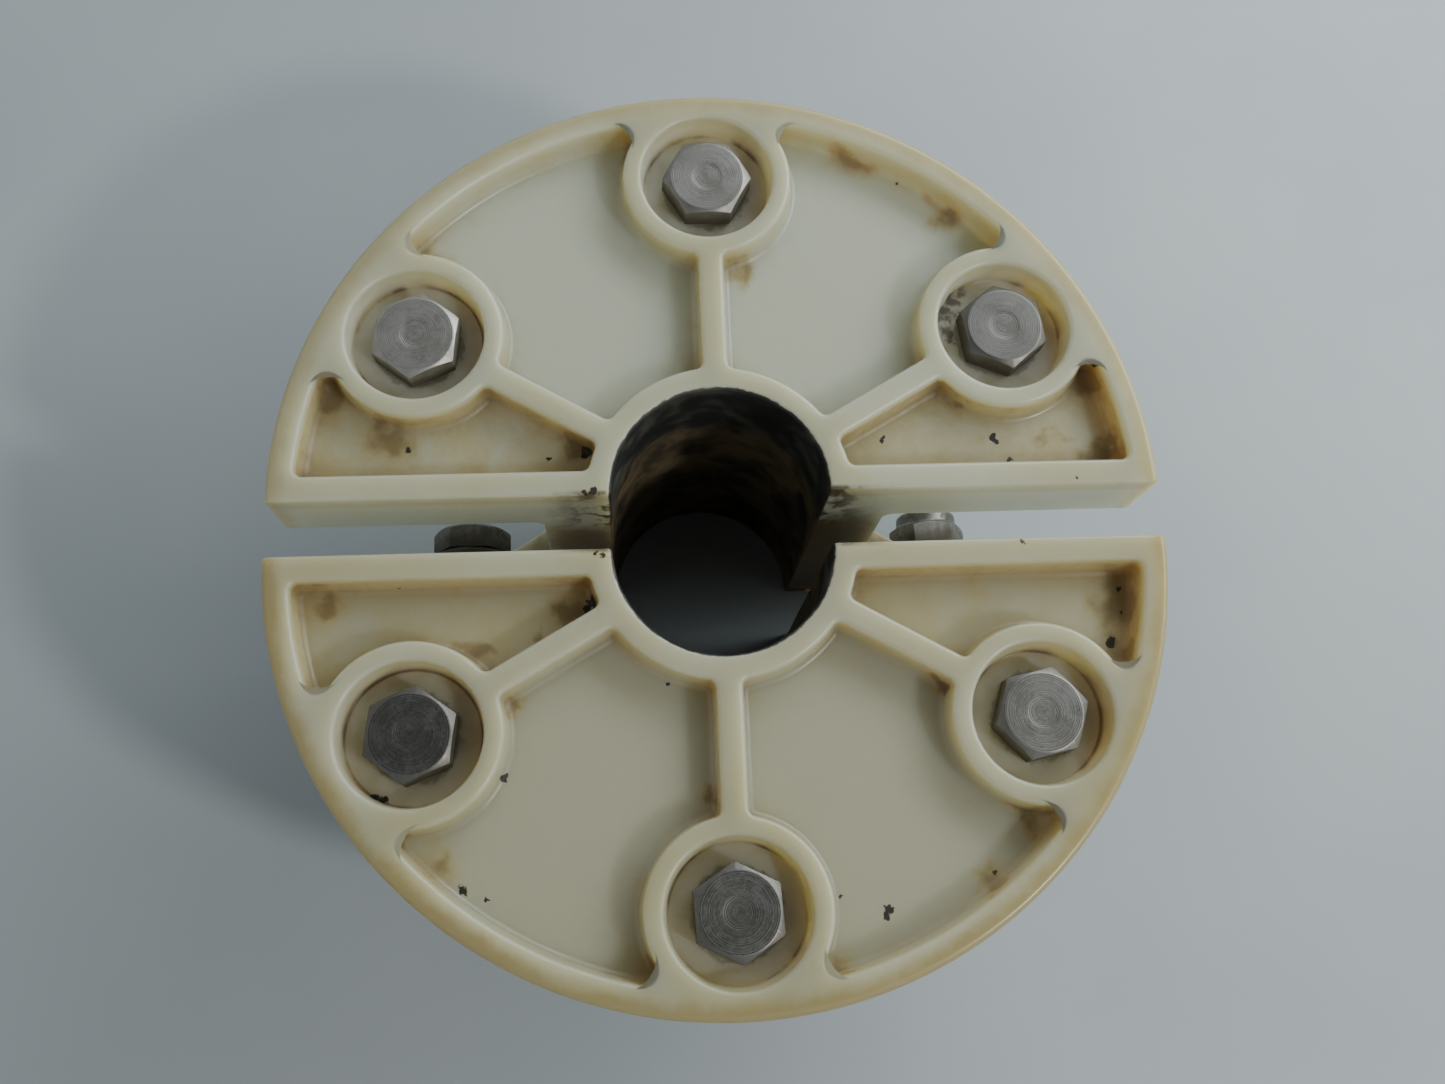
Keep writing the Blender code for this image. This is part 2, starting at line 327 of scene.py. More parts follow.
def rounded_polygon(corners):
    """A polygon of (x, y, radius) corners as a list of points."""
    points = []
    for i, (x, y, radius) in enumerate(corners):
        before, after = corners[i - 1][:2], corners[(i + 1) % len(corners)][:2]
        points += round_corner(before, (x, y), after, radius) if radius else [(x, y)]
    return points


# ---------------------------------------------------------------------------------------------
# Moulded half body, with its split face on Y = 0


def recess_walls(floor_round):
    """(inset, z) pairs up a recess: the rounded foot of its wall, then its rounded mouth."""
    turns = [0.5 * math.pi * i / ROUND_STEPS for i in range(ROUND_STEPS + 1)]
    foot = [
        (DRAFT + floor_round * (1.0 - math.sin(a)), RECESS_Z + floor_round * (1.0 - math.cos(a)))
        for a in turns
    ]
    mouth = [
        (EDGE_ROUND * (math.cos(a) - 1.0), HEIGHT - EDGE_ROUND * (1.0 - math.sin(a)))
        for a in turns[:-1]
    ]
    return [*foot, *mouth, (-EDGE_ROUND, HEIGHT), (-EDGE_ROUND, HEIGHT + OVERLAP)]


def web_cutters():
    cutters = []
    for first, last in ((None, BOSS_ANGLES[0]), (BOSS_ANGLES[0], BOSS_ANGLES[1])):
        for side in (1.0, -1.0):
            loops = [
                [(side * x, y, z) for x, y in web_outline(first, last, inset)]
                for inset, z in recess_walls(FLOOR_ROUND)
            ]
            cutters.append(skin("web_cutter", loops))
    return cutters


def flange_cutters():
    cutters = []
    for angle in BOSS_ANGLES:
        x, y = polar(BOLT_CIRCLE_R, angle)
        walls = recess_walls(POCKET_ROUND)
        pocket = skin("pocket", [circle(POCKET_R - i, z, even_angles(72)) for i, z in walls])
        low, high = FLANGE_BACK - OVERLAP, RECESS_Z + OVERLAP
        hole = skin("hole", [circle(HOLE_R, z, even_angles(36)) for z in (low, high)])
        cutters += [place(cutter, shift(x, y)) for cutter in (pocket, hole)]
    return cutters


def lug(side):
    """One clamp lug: a round-ended plate that thickens towards the hub."""
    tip = LUG_X + LUG_R
    foot = HUB_R - 8.0
    plan = [
        (foot, -OVERLAP),
        (tip, -OVERLAP),
        (tip, LUG_T),
        (LUG_X - WASHER_R - 0.5, LUG_T),
        (HUB_R + 1.0, LUG_ROOT_T),
        (foot, LUG_ROOT_T),
    ]
    levels = (LUG_Z - LUG_R, LUG_Z + LUG_R)
    plate = skin("lug", [[(x, y, z) for x, y in plan] for z in levels])
    face = [(foot - OVERLAP, -LUG_R), (LUG_X, -LUG_R)]
    face += [polar(LUG_R, -90.0 + 5.0 * i, (LUG_X, 0.0)) for i in range(1, 36)]
    face += [(LUG_X, LUG_R), (foot - OVERLAP, LUG_R)]
    reach = 2.0 * LUG_ROOT_T
    outline = skin("lug_outline", [[(x, y, z) for x, y in face] for z in (-reach, reach)])
    place(outline, shift(z=LUG_Z) @ Matrix.Rotation(math.radians(90.0), 4, "X"))
    combined(plate, [outline], "INTERSECT")
    bevel = plate.modifiers.new("rounded edges", "BEVEL")
    bevel.width = LUG_ROUND * MM
    bevel.segments = 3
    bevel.limit_method = "ANGLE"
    bevel.angle_limit = math.radians(40.0)
    evaluated_mesh(plate)
    if side < 0.0:
        place(plate, Matrix.Scale(-1.0, 4, Vector((1.0, 0.0, 0.0))))
        plate.data.flip_normals()
    return plate


def split_in_two(obj):
    """Keeps what lies on the +Y side, closes the split face, and rounds every edge round it."""
    bm = bmesh.new()
    bm.from_mesh(obj.data)
    bmesh.ops.remove_doubles(bm, verts=bm.verts, dist=0.002 * MM)
    bmesh.ops.bisect_plane(
        bm,
        geom=[*bm.verts, *bm.edges, *bm.faces],
        dist=1e-7,
        plane_co=(0.0, 0.0, 0.0),
        plane_no=(0.0, 1.0, 0.0),
        clear_inner=True,
    )
    rim = [edge for edge in bm.edges if edge.is_boundary]
    bmesh.ops.triangle_fill(bm, use_beauty=True, use_dissolve=True, edges=rim)
    bmesh.ops.recalc_face_normals(bm, faces=bm.faces)
    bmesh.ops.bevel(
        bm,
        geom=rim,
        offset=SPLIT_ROUND * MM,
        segments=3,
        profile=0.5,
        affect="EDGES",
        clamp_overlap=False,
    )
    bm.to_mesh(obj.data)
    bm.free()
    return obj


def half_mesh():
    profile = rounded_polygon(
        [
            (BORE_R, 0.0, 1.0),
            (HUB_R, 0.0, 1.4),
            (HUB_R, FLANGE_BACK, 3.0),
            (FLANGE_R, FLANGE_BACK, 1.4),
            (FLANGE_R, HEIGHT, 1.5),
            (BORE_R, HEIGHT, 1.1),
        ]
    )
    around = [2.0 * math.pi * i / REVOLVE_SIDES for i in range(REVOLVE_SIDES)]
    half = skin("half", [circle(r, z, around) for r, z in profile], joined_round=True)
    combined(half, [lug(1.0), lug(-1.0)], "UNION")
    clamp_holes = []
    for side in (1.0, -1.0):
        hole = skin("clamp_hole", [circle(HOLE_R, z, even_angles(36)) for z in (-20.0, 20.0)])
        along_y = Matrix.Rotation(math.radians(90.0), 4, "X")
        clamp_holes.append(place(hole, shift(side * LUG_X, 0.0, LUG_Z) @ along_y))
    combined(half, [*clamp_holes, *flange_cutters(), *web_cutters()], "DIFFERENCE")
    return mesh_of(split_in_two(half))


# ---------------------------------------------------------------------------------------------
# Fasteners, each made along +Z with its bearing face on Z = 0


def hex_corner():
    """How far from the axis a corner's rounding is centred, and the angle where it ends."""
    twelfth = math.radians(30.0)
    centre_r = (HEX_FLATS / 2.0 - HEX_ROUND) / math.cos(twelfth)
    tangent = math.atan(HEX_ROUND * 0.5 / (centre_r + HEX_ROUND * math.cos(twelfth)))
    return centre_r, tangent


def hex_angles():
    """Angles round a hexagon, closer together at its corners."""
    _, tangent = hex_corner()
    sixth = math.radians(60.0)
    flat = sixth - 2.0 * tangent
    steps = [0.0, tangent / 2.0, tangent]
    steps += [tangent + flat * i / 9.0 for i in range(1, 9)]
    steps += [sixth - tangent, sixth - tangent / 2.0]
    return [math.radians(60.0 * corner) + step for corner in range(6) for step in steps]


def hex_radius(angle):
    """Distance from the axis to a hexagon with rounded corners, the first of them on +X."""
    centre_r, tangent = hex_corner()
    from_corner = math.remainder(angle, math.radians(60.0))
    inside = HEX_ROUND**2 - (centre_r * math.sin(from_corner)) ** 2
    if abs(from_corner) <= tangent and inside > 0.0:
        return centre_r * math.cos(from_corner) + math.sqrt(inside)
    return HEX_FLATS / 2.0 / math.cos(math.radians(30.0) - abs(from_corner))


def hex_loop(angles, inset, z, slope=0.0):
    """A loop on the hexagon. slope tips it, so that it follows a turned chamfer."""
    points = []
    for angle in angles:
        radius = hex_radius(angle)
        height = z + slope * (radius - CHAMFER_R)
        radius -= inset
        points.append((radius * math.cos(angle), radius * math.sin(angle), height))
    return points


def is_level(edge, z):
    return all(abs(end.co.z - z * MM) < 1e-6 for end in edge.verts)


def thread(name, z_tip, z_end):
    """A helical V thread, cut flat at both ends, with a chamfer at its tip."""
    sides = 36
    turns = math.ceil((z_end - z_tip) / THREAD_PITCH) + 4
    count = turns * sides
    profile = ((0.0, ROOT_R), (0.12, ROOT_R), (0.5, CREST_R), (0.62, CREST_R))
    bm = bmesh.new()
    rows = []
    for part, radius in profile:
        row = []
        for i in range(count + 1):
            angle = 2.0 * math.pi * i / sides
            z = z_tip + THREAD_PITCH * (i / sides + part - 2.0)
            near_tip = min(radius, ROOT_R - 0.2 + max(z - z_tip, 0.0) * 1.1)
            point = (near_tip * math.cos(angle), near_tip * math.sin(angle), z)
            row.append(bm.verts.new(Vector(point) * MM))
        rows.append(row)
    for low, high in zip(rows, rows[1:]):
        for i in range(count):
            bm.faces.new((low[i], low[i + 1], high[i + 1], high[i]))
    for i in range(count - sides):
        low, high = rows[-1], rows[0]
        bm.faces.new((low[i], low[i + 1], high[i + 1 + sides], high[i + sides]))
    for z, direction in ((z_tip, -1.0), (z_end, 1.0)):
        bmesh.ops.bisect_plane(
            bm,
            geom=[*bm.verts, *bm.edges, *bm.faces],
            plane_co=Vector((0.0, 0.0, z)) * MM,
            plane_no=(0.0, 0.0, direction),
            clear_outer=True,
        )
        rim = [edge for edge in bm.edges if edge.is_boundary and is_level(edge, z)]
        bmesh.ops.contextual_create(bm, geom=rim)
    bmesh.ops.recalc_face_normals(bm, faces=bm.faces)
    mesh = bpy.data.meshes.new(name)
    bm.to_mesh(mesh)
    bm.free()
    return object_of(name, mesh)


def bolt_mesh(name, length):
    """A screw under a hexagon head, which has a turned top and a washer face below."""
    angles = hex_angles()
    loops = [
        circle(CHAMFER_R - 0.1, 0.0, angles),
        circle(CHAMFER_R, 0.1, angles),
        circle(CHAMFER_R, 0.4, angles),
        hex_loop(angles, 0.15, 0.42),
        hex_loop(angles, 0.04, 0.46),
        hex_loop(angles, 0.0, 0.6),
        hex_loop(angles, 0.0, HEAD_H - 0.2, -CHAMFER_SLOPE),
        hex_loop(angles, 0.03, HEAD_H - 0.08, -CHAMFER_SLOPE),
        hex_loop(angles, 0.14, HEAD_H + 0.03, -CHAMFER_SLOPE),
        circle(CHAMFER_R + 0.1, HEAD_H - 0.07, angles),
        circle(CHAMFER_R - 0.1, HEAD_H - 0.01, angles),
        circle(CHAMFER_R - 0.4, HEAD_H, angles),
        *(circle(radius, HEAD_H - depth, angles) for radius, depth in HEAD_HOLLOW),
    ]
    head = skin(name, loops)
    around = even_angles(36)
    shank = skin(
        "shank",
        [
            circle(SHANK_R, -PLAIN_SHANK, around),
            circle(SHANK_R, -0.5, around),
            circle(SHANK_R + 0.5, OVERLAP, around),
        ],
    )
    screw = thread("screw", -length, -PLAIN_SHANK + 1.0)
    return mesh_of(combined(head, [shank, screw], "UNION"))


def nut_mesh(name):
    """A locknut: a hexagon chamfered at both ends, under a collar crimped over its ring."""
    angles = hex_angles()
    loops = [
        circle(NUT_HOLE_R, 0.6, angles),
        circle(NUT_HOLE_R + 0.6, 0.0, angles),
        circle(CHAMFER_R - 0.2, 0.0, angles),
        circle(CHAMFER_R + 0.1, 0.07, angles),
        hex_loop(angles, 0.12, 0.0, CHAMFER_SLOPE),
        hex_loop(angles, 0.0, 0.2, CHAMFER_SLOPE),
        hex_loop(angles, 0.0, NUT_HEX_H - 0.2, -CHAMFER_SLOPE),
        hex_loop(angles, 0.12, NUT_HEX_H, -CHAMFER_SLOPE),
        circle(CHAMFER_R + 0.1, NUT_HEX_H - 0.07, angles),
        circle(NUT_COLLAR_R + 0.1, NUT_HEX_H + 0.1, angles),
        circle(NUT_COLLAR_R - 0.1, NUT_HEX_H + 0.5, angles),
        circle(NUT_COLLAR_R - 0.15, NUT_H - 1.4, angles),
        circle(NUT_COLLAR_R - 0.35, NUT_H - 0.6, angles),
        circle(NUT_COLLAR_R - 0.9, NUT_H - 0.1, angles),
        circle(NUT_COLLAR_R - 1.4, NUT_H, angles),
        circle(NUT_COLLAR_R - 1.8, NUT_H - 0.15, angles),
        circle(NUT_COLLAR_R - 1.85, NUT_H - 0.5, angles),
        circle(NUT_HOLE_R + 0.4, NUT_H - 3.0, angles),
        circle(NUT_HOLE_R, NUT_H - 3.2, angles),
    ]
    return mesh_of(skin(name, loops, joined_round=True))


def ring_mesh(name, profile):
    """A ring turned from (radius, z) points."""
    around = even_angles(72)
    return mesh_of(skin(name, [circle(r, z, around) for r, z in profile], joined_round=True))


def washer_mesh(name):
    """A stamped washer, rounded over at its top edge and nearly sharp below."""
    profile = [
        (WASHER_HOLE_R, 0.0, 0.12),
        (WASHER_R, 0.0, 0.15),
        (WASHER_R, WASHER_T, 0.55),
        (WASHER_HOLE_R, WASHER_T, 0.35),
    ]
    return ring_mesh(name, rounded_polygon(profile))


def insert_mesh(name):
    """The plastic locking ring inside a nut's collar."""
    low, high = NUT_H - 2.6, NUT_H - 0.55
    profile = [(5.0, low, 0.1), (5.55, low, 0.1), (5.85, high, 0.1), (5.0, high, 0.2)]
    return ring_mesh(name, rounded_polygon(profile))


# ---------------------------------------------------------------------------------------------
# Placing


def seat(node, outward, height, turn=0.0):
    """Where a fastener stands: its axis through the middle of its CAD node, its far end on the
    node's end in the outward direction, height above its bearing face."""
    low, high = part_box(node)
    outward = Vector(outward)
    middle = (low + high) / 2.0
    reach = max(outward.dot(low), outward.dot(high))
    origin = middle + outward * (reach - height * MM - outward.dot(middle))
    aim = Vector((0.0, 0.0, 1.0)).rotation_difference(outward).to_matrix().to_4x4()
    return Matrix.Translation(origin) @ aim @ Matrix.Rotation(math.radians(turn), 4, "Z")


def add_piece(name, mesh, matrix, body, surface, node=None):
    made = object_of(name, mesh.copy())
    made.matrix_world = matrix
    made.data.materials.clear()
    made.data.materials.append(surface)
    smooth(made)
    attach(made, body)
    if node:
        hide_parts(node)
    return made


# ---------------------------------------------------------------------------------------------
# Node materials. Every number in them is in millimetres on the piece, in the piece's own frame.


class Num:
    """A number in a node material."""

    def __init__(self, graph, socket):
        self.graph = graph
        self.socket = socket

    def __add__(self, other):
        return self.graph.math("ADD", self, other)

    def __sub__(self, other):
        return self.graph.math("SUBTRACT", self, other)

    def __rsub__(self, other):
        return self.graph.math("SUBTRACT", other, self)

    def __mul__(self, other):
        return self.graph.math("MULTIPLY", self, other)

    def __abs__(self):
        return self.graph.math("ABSOLUTE", self)

    __radd__ = __add__
    __rmul__ = __mul__


class Graph:
    """Builds one node material round a Principled shader."""

    def __init__(self, name):
        self.material = bpy.data.materials.new(name)
        self.material.use_nodes = True
        self.tree = self.material.node_tree
        self.shader = self.tree.nodes["Principled BSDF"]

    def node(self, kind, **settings):
        made = self.tree.nodes.new(kind)
        for key, value in settings.items():
            setattr(made, key, value)
        return made

    def feed(self, socket, value):
        """Links a number or a socket to an input, or sets the input's own value."""
        if isinstance(value, Num):
            value = value.socket
        if isinstance(value, bpy.types.NodeSocket):
            self.tree.links.new(value, socket)
        elif isinstance(value, tuple) and len(value) == 3 and socket.type == "RGBA":
            socket.default_value = (*value, 1.0)
        else:
            socket.default_value = value

    def math(self, operation, *values):
        made = self.node("ShaderNodeMath", operation=operation)
        for socket, value in zip(made.inputs, values):
            self.feed(socket, value)
        return Num(self, made.outputs[0])

    def smallest(self, first, *others):
        for other in others:
            first = self.math("MINIMUM", first, other)
        return first

    def largest(self, first, *others):
        for other in others:
            first = self.math("MAXIMUM", first, other)
        return first

    def length(self, *parts):
        total = parts[0] * parts[0]
        for part in parts[1:]:
            total = total + part * part
        return self.math("SQRT", total)

    def ramp(self, value, at_zero, at_one):
        """0 to 1, smoothly, as value goes from at_zero to at_one."""
        made = self.node("ShaderNodeMapRange", interpolation_type="SMOOTHSTEP")
        for name, given in (("Value", value), ("From Min", at_zero), ("From Max", at_one)):
            self.feed(made.inputs[name], given)
        return Num(self, made.outputs["Result"])

    def scaled(self, vector, factors):
        made = self.node("ShaderNodeVectorMath", operation="MULTIPLY")
        self.feed(made.inputs[0], vector)
        made.inputs[1].default_value = factors
        return made.outputs[0]

    def point(self):
        """The point on the piece as a vector, and its three parts."""
        place_on = self.node("ShaderNodeTexCoord").outputs["Object"]
        vector = self.scaled(place_on, (1000.0, 1000.0, 1000.0))
        parts = self.node("ShaderNodeSeparateXYZ")
        self.feed(parts.inputs[0], vector)
        return (vector, *(Num(self, output) for output in parts.outputs))

    def noise_node(self, vector, size, seed, detail, distortion=0.0):
        made = self.node("ShaderNodeTexNoise", noise_dimensions="4D")
        self.feed(made.inputs["Vector"], vector)
        made.inputs["W"].default_value = seed
        made.inputs["Scale"].default_value = 1.0 / size
        made.inputs["Detail"].default_value = detail
        made.inputs["Distortion"].default_value = distortion
        return made

    def noise(self, vector, size, seed, detail=4.0, distortion=0.0):
        """Noise from 0 to 1, with blots about size millimetres wide."""
        return Num(self, self.noise_node(vector, size, seed, detail, distortion).outputs["Fac"])

    def warped(self, vector, size, reach, seed):
        """The same point pushed about by up to half of reach millimetres, for ragged outlines."""
        pushes = self.noise_node(vector, size, seed, 5.0)
        push = self.node("ShaderNodeVectorMath", operation="MULTIPLY_ADD")
        self.feed(push.inputs[0], pushes.outputs["Color"])
        push.inputs[1].default_value = (reach, reach, reach)
        push.inputs[2].default_value = (-reach / 2.0, -reach / 2.0, -reach / 2.0)
        moved = self.node("ShaderNodeVectorMath", operation="ADD")
        self.feed(moved.inputs[0], vector)
        self.feed(moved.inputs[1], push.outputs[0])
        return moved.outputs[0]

    def mixed(self, base, colour, amount):
        made = self.node("ShaderNodeMix", data_type="RGBA")
        self.feed(made.inputs[0], amount)
        self.feed(made.inputs[6], base)
        self.feed(made.inputs[7], colour)
        return made.outputs[2]

    def spots(self, vector, places, wobble, core):
        """1 in the core of every (x, y, z, radius) ball and 0 outside it, with ragged edges."""
        total = None
        for x, y, z, radius in places:
            gap = self.node("ShaderNodeVectorMath", operation="DISTANCE")
            self.feed(gap.inputs[0], vector)
            gap.inputs[1].default_value = (x, y, z)
            near = self.ramp(Num(self, gap.outputs["Value"]) + wobble, radius, radius * core)
            total = near if total is None else self.largest(total, near)
        return total

    def bump(self, height, depth):
        """A bump whose full height of 1 is depth millimetres."""
        made = self.node("ShaderNodeBump")
        made.inputs["Distance"].default_value = depth * MM
        self.feed(made.inputs["Height"], height)
        self.tree.links.new(made.outputs["Normal"], self.shader.inputs["Normal"])

    def set(self, **values):
        for name, value in values.items():
            self.feed(self.shader.inputs[name.replace("_", " ")], value)


END_WEB_DIRT = {"rear": 0.9, "front": 0.75}  # the two webs beside the split stay dirtiest
# pocket is lighter than body: painted light against the shade in the bolt pockets.
NYLON_TONES = {
    "rear": {
        "body": (0.515, 0.53, 0.42),
        "yellowed": (0.475, 0.475, 0.335),
        "floor": (0.57, 0.595, 0.485),
        "pocket": (0.64, 0.625, 0.50),
    },
    # The front half's tones are darker and warmer than the rear's: painted shade, as less light
    # reaches the front half.
    "front": {
        "body": (0.49, 0.49, 0.37),
        "yellowed": (0.445, 0.43, 0.285),
        "floor": (0.495, 0.49, 0.36),
        "pocket": (0.62, 0.59, 0.42),
    },
}

# Colours of dirt and stains, which also serve as painted shade: in the web corners, at the foot of
# the bore and in the gap under the flange.
DIRT_AND_PAINTED_SHADE = {
    "yellow": (0.49, 0.42, 0.215),
    "brown": (0.27, 0.195, 0.08),
    "rim edge": (0.34, 0.29, 0.145),
    "rim blotch": (0.37, 0.31, 0.15),
    "tan": (0.42, 0.36, 0.19),
    "foot": (0.16, 0.085, 0.025),
    "grime": (0.10, 0.065, 0.028),
    "soot_and_foot_shade": (0.022, 0.024, 0.021),
    "dust": (0.085, 0.083, 0.068),
    "smear": (0.060, 0.045, 0.022),
    "low smear and gap shade": (0.10, 0.08, 0.05),
    "hub": (0.24, 0.18, 0.09),
    "crumb": (0.030, 0.023, 0.015),
}

# Dirt on each half, as (x, y, z, radius) balls in that half's own frame
CRUMBS = {
    "rear": (
        (43.5, 74.0, 85.0, 0.7),
        (81.3, 27.4, 89.5, 1.5),
        (81.0, 28.8, 90.5, 1.2),
        (59.5, 13.0, 85.0, 1.2),
        (60.3, 12.4, 85.0, 0.9),
        (35.5, 12.5, 85.0, 1.0),
        (35.9, 13.4, 85.0, 0.7),
        (63.0, 8.0, 85.0, 0.8),
        (74.5, 1.0, 92.0, 0.5),
        (-55.5, 49.0, 85.0, 1.3),
        (-54.5, 48.6, 85.0, 0.9),
        (-51.5, 55.5, 86.0, 0.8),
        (-65.0, 12.5, 85.0, 0.9),
        (-35.5, 10.0, 85.0, 0.7),
        (-27.6, 11.4, 85.5, 1.6),
        (-28.6, 13.4, 85.0, 1.0),
        (-26.0, 0.6, 91.6, 1.3),
        (-27.8, 0.4, 91.8, 1.0),
    ),
    "front": (
        (-62.0, 0.8, 92.0, 0.8),
        (-83.5, 10.0, 85.0, 0.9),
        (-80.5, 21.5, 85.5, 1.5),
        (-81.6, 20.8, 86.0, 1.1),
        (-83.5, 15.0, 85.0, 0.7),
        (27.0, 9.4, 86.0, 1.9),
        (28.0, 11.0, 85.5, 1.3),
        (26.2, 16.6, 86.0, 1.7),
        (24.5, 1.5, 92.0, 0.9),
        (26.0, 1.2, 92.0, 0.7),
        (12.0, 27.0, 85.0, 0.8),
        (-20.5, 70.0, 85.0, 0.8),
        (-30.0, 73.0, 85.0, 1.2),
        (-29.4, 74.3, 85.0, 1.1),
        (-51.5, 67.0, 85.0, 0.7),
        (66.0, 5.6, 86.0, 1.0),
        (57.5, 4.4, 91.0, 0.6),
        (70.3, 47.6, 85.0, 1.4),
        (68.6, 48.0, 85.0, 1.2),
        (45.0, 44.5, 85.0, 1.1),
        (53.0, 66.0, 85.0, 1.2),
        (48.5, 68.0, 85.0, 0.8),
    ),
}
STAINS = {
    "rear": (
        (-80.5, 25.0, 86.0, 5.0),
        (-69.0, 13.5, 85.0, 7.5),
        (-30.0, 13.0, 86.0, 4.5),
        (79.5, 24.0, 87.0, 7.0),
        (82.0, 10.0, 87.0, 5.5),
        (54.0, 24.0, 86.0, 5.0),
        (72.5, 11.5, 85.0, 4.0),
        (51.5, 39.0, 86.0, 7.0),
        (55.0, 46.0, 86.0, 6.0),
        (53.0, 66.0, 86.0, 6.0),
        (33.0, 79.0, 87.0, 6.5),
        (-16.0, 79.5, 87.0, 6.0),
        (-60.0, 57.0, 87.0, 6.0),
        (-2.0, 55.0, 86.0, 4.5),
        (6.0, 53.0, 86.0, 5.0),
    ),
    "front": (
        (80.0, 9.0, 86.5, 6.0),
        (31.0, 11.0, 86.0, 6.0),
        (40.0, 18.0, 86.0, 4.0),
        (52.5, 19.5, 86.0, 4.5),
        (44.5, 30.0, 86.0, 4.0),
        (57.0, 62.5, 86.0, 6.5),
        (64.0, 56.0, 86.0, 4.0),
        (17.5, 82.0, 87.0, 7.0),
        (-20.0, 84.0, 87.5, 5.0),
        (-50.0, 53.5, 85.5, 3.5),
        (-59.0, 55.0, 86.0, 5.0),
        (-43.5, 29.5, 86.0, 4.5),
        (-82.0, 12.0, 86.5, 8.0),
        (-81.5, 22.0, 87.0, 5.0),
        (-50.0, 67.0, 86.5, 5.0),
        (3.0, 50.0, 86.0, 3.5),
    ),
}


def wall_nearness(g, distances):
    """How near a point in a web is to the walls round it: 1 at a wall, 2 in a corner. The webs are
    painted darker with it, as painted shade towards their walls and corners.
    """
    near = None
    for distance in distances:
        one = g.math("EXPONENT", g.largest(distance, 0.0) * -0.28)
        near = one if near is None else near + one
    return near


def nylon_places(g, seed, side):
    """Where a point lies on a moulded half, as masks from 0 to 1, with the noises used there."""
    point, x, y, z = g.point()
    across = abs(x)
    radius = g.length(x, y)
    boss_x, boss_y = polar(BOLT_CIRCLE_R, BOSS_ANGLES[0])
    from_boss = g.smallest(
        g.length(across - boss_x, y - boss_y), g.length(x, y - BOLT_CIRCLE_R)
    )
    from_rib = g.smallest(abs(across * 0.5 - y * math.cos(math.radians(30.0))), across)
    from_walls = (
        FLANGE_R - RIM_W - radius,
        radius - RING_R,
        from_boss - BOSS_R,
        from_rib - RIB_W / 2.0,
        y - EDGE_RIB_W,
    )

    patches = g.noise(point, 9.0, seed + 3.0, 6.0, 0.6)
    fine = g.noise(point, 2.0, seed + 5.0, 5.0, 0.4)
    mottle = (patches - 0.5) * 1.9 + (fine - 0.5) * 0.9
    stained = g.spots(g.warped(point, 7.0, 16.0, seed), STAINS[side], mottle * 2.0, 0.0)

    below_top = g.ramp(z, HEIGHT - 0.7, HEIGHT - 2.5)
    on_flange = g.ramp(z, FLANGE_BACK + 1.0, FLANGE_BACK + 2.0)
    inside = g.ramp(y, 1.5, 3.0) * g.ramp(radius, FLANGE_R - 1.0, FLANGE_R - 2.5)
    in_web = g.ramp(from_boss, POCKET_R + 1.6, BOSS_R - 0.8) * below_top * on_flange * inside
    in_end_web = g.ramp(across * math.tan(math.radians(30.0)) - y, -2.0, 3.0) * in_web
    near = wall_nearness(g, from_walls)
    # Painted shade: near the bottom end, where the hub stands on the table, the bore's black
    # spreads 5 mm outward.
    foot_shade = g.ramp(z, 5.0, 2.5) * 5.0
    return SimpleNamespace(
        z=z,
        across=across,
        radius=radius,
        from_boss=from_boss,
        broad=g.noise(point, 38.0, seed, 3.0),
        patches=patches,
        fine=fine,
        grain=g.noise(point, 0.5, seed + 7.0, 3.0),
        mottle=mottle,
        stained=stained,
        # Stains, and painted shade that grows towards the web walls and corners.
        stain_and_corner_shade=near * 0.8 + stained * 1.8 + in_end_web * END_WEB_DIRT[side] + mottle,
        crumbs=g.spots(g.warped(point, 1.5, 3.0, seed), CRUMBS[side], 0.15, 0.75),
        below_top=below_top,
        on_floor=g.ramp(z, RECESS_Z + 3.0, RECESS_Z + 0.6),
        on_flange=on_flange,
        on_split=g.ramp(y, 1.2, 0.3),
        in_pocket=g.ramp(from_boss, POCKET_R + 0.9, POCKET_R - 0.1),
        in_web=in_web,
        in_bore_and_shaded_foot=g.ramp(radius + (fine - 0.5) * 0.8 - foot_shade, BORE_R + 0.75, BORE_R + 0.35),
    )


def body_and_webs(g, at, tones):
    """Milky body, whiter on the web floors, yellowed at the walls and brown in the corners, partly
    from stains and partly as painted shade of the walls and corners.
    """
    cream = g.mixed(tones["body"], tones["yellowed"], g.ramp(at.broad, 0.36, 0.66))
    colour = g.mixed(cream, tones["floor"], at.on_floor * (1.0 - at.in_pocket))
    # Yellow, then brown: the stains, and painted shade in the web corners.
    colour = g.mixed(colour, DIRT_AND_PAINTED_SHADE["yellow"], g.ramp(at.stain_and_corner_shade, 0.3, 1.7) * at.in_web * 0.85)
    return g.mixed(colour, DIRT_AND_PAINTED_SHADE["brown"], g.ramp(at.stain_and_corner_shade, 1.3, 2.7) * at.in_web * 0.85)


def rim(g, at, colour, rim_dirt):
    """Yellowed towards its outer edge, and blotched beside the stains."""
    edge = g.ramp(at.radius + at.mottle * 2.0, FLANGE_R - 5.0, FLANGE_R - 1.0)
    colour = g.mixed(colour, DIRT_AND_PAINTED_SHADE["rim edge"], edge * rim_dirt)
    on_rim = g.ramp(at.radius, FLANGE_R - 8.5, FLANGE_R - 5.0) * at.on_flange
    blotches = g.ramp(at.stained * 1.4 + at.mottle * 0.8, 0.25, 1.3) * on_rim
    return g.mixed(colour, DIRT_AND_PAINTED_SHADE["rim blotch"], blotches * 0.65)


